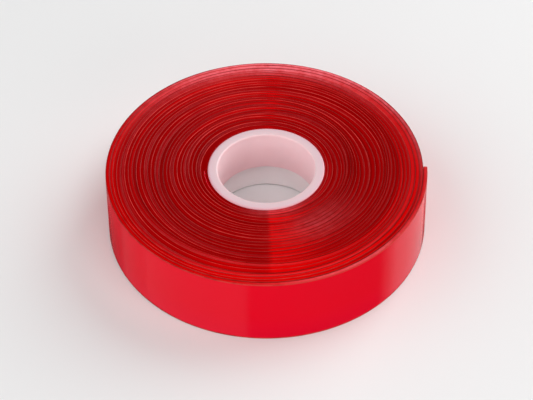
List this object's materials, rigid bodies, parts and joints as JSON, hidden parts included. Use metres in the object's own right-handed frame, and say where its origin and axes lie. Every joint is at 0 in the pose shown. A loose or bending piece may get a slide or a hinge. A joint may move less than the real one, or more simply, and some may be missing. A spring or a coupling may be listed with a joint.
{
  "type": "tape roll",
  "caption": "Roll of thick gel tape with a red film back, wound on a moulded plastic core; its free end unrolls and the film peels off the gel.",
  "frame": {"origin": "on the bore's axis, at the surface that the roll rests on", "axes": "+Z along the bore's axis, up out of the upper bore; the strip is wound anticlockwise seen from above, and its tip lies on +X"},
  "size_m": [0.0843, 0.0837, 0.02],
  "materials": {
    "core": "moulded white polyethylene, slightly milky",
    "gel": "clear soft gel that looks deep red between the films",
    "film": "smooth see-through red polyester film, high gloss"
  },
  "bodies": {
    "roll": {"core": "core", "gel_winding": "gel", "film_winding": "film"},
    "strip_link_1": {"free_end_gel_1": "gel", "free_end_film_1": "film"},
    "strip_link_2": {"free_end_gel_2": "gel", "free_end_film_2": "film"},
    "strip_link_3": {"free_end_gel_3": "gel", "free_end_film_3": "film"},
    "strip_link_4": {"free_end_gel_4": "gel", "free_end_film_4": "film"},
    "strip_link_5": {"free_end_gel_5": "gel", "free_end_film_5": "film"},
    "strip_link_6": {"free_end_gel_6": "gel", "free_end_film_6": "film"},
    "strip_link_7": {"free_end_gel_7": "gel", "free_end_film_7": "film"},
    "strip_link_8": {"free_end_gel_8": "gel", "free_end_film_8": "film"},
    "film_tab_1": {"film_tab_1": "film"},
    "film_tab_2": {"film_tab_2": "film"},
    "film_tab_3": {"film_tab_3": "film"}
  },
  "joints": [
    {"name": "strip_unroll", "type": "hinge", "parent": "roll", "child": "strip_link_1", "pos_m": [-0.02671, -0.03258, 0.01], "axis": [0, 0, -1], "range_deg": [0, 18]},
    {"name": "strip_bend_2", "type": "hinge", "parent": "strip_link_1", "child": "strip_link_2", "pos_m": [-0.01739, -0.03838, 0.01], "axis": [0, 0, -1], "range_deg": [0, 18]},
    {"name": "strip_bend_3", "type": "hinge", "parent": "strip_link_2", "child": "strip_link_3", "pos_m": [-0.00688, -0.04156, 0.01], "axis": [0, 0, -1], "range_deg": [0, 18]},
    {"name": "strip_bend_4", "type": "hinge", "parent": "strip_link_3", "child": "strip_link_4", "pos_m": [0.0041, -0.04193, 0.01], "axis": [0, 0, -1], "range_deg": [0, 18]},
    {"name": "strip_bend_5", "type": "hinge", "parent": "strip_link_4", "child": "strip_link_5", "pos_m": [0.01479, -0.03945, 0.01], "axis": [0, 0, -1], "range_deg": [0, 18]},
    {"name": "strip_bend_6", "type": "hinge", "parent": "strip_link_5", "child": "strip_link_6", "pos_m": [0.02449, -0.03428, 0.01], "axis": [0, 0, -1], "range_deg": [0, 18]},
    {"name": "strip_bend_7", "type": "hinge", "parent": "strip_link_6", "child": "strip_link_7", "pos_m": [0.03252, -0.02679, 0.01], "axis": [0, 0, -1], "range_deg": [0, 18]},
    {"name": "strip_bend_8", "type": "hinge", "parent": "strip_link_7", "child": "strip_link_8", "pos_m": [0.03833, -0.01748, 0.01], "axis": [0, 0, -1], "range_deg": [0, 18]},
    {"name": "film_peel", "type": "hinge", "parent": "strip_link_8", "child": "film_tab_1", "pos_m": [0.03985, -0.01377, 0.01], "axis": [0, 0, -1], "range_deg": [0, 50]},
    {"name": "film_curl_2", "type": "hinge", "parent": "film_tab_1", "child": "film_tab_2", "pos_m": [0.04113, -0.00927, 0.01], "axis": [0, 0, -1], "range_deg": [0, 50]},
    {"name": "film_curl_3", "type": "hinge", "parent": "film_tab_2", "child": "film_tab_3", "pos_m": [0.0419, -0.00467, 0.01], "axis": [0, 0, -1], "range_deg": [0, 50]}
  ],
  "couplings": [
    {"joint": "strip_bend_2", "follows": "strip_unroll", "ratio": 1},
    {"joint": "strip_bend_3", "follows": "strip_unroll", "ratio": 1},
    {"joint": "strip_bend_4", "follows": "strip_unroll", "ratio": 1},
    {"joint": "strip_bend_5", "follows": "strip_unroll", "ratio": 1},
    {"joint": "strip_bend_6", "follows": "strip_unroll", "ratio": 1},
    {"joint": "strip_bend_7", "follows": "strip_unroll", "ratio": 1},
    {"joint": "strip_bend_8", "follows": "strip_unroll", "ratio": 1},
    {"joint": "film_curl_2", "follows": "film_peel", "ratio": 1},
    {"joint": "film_curl_3", "follows": "film_peel", "ratio": 1}
  ]
}
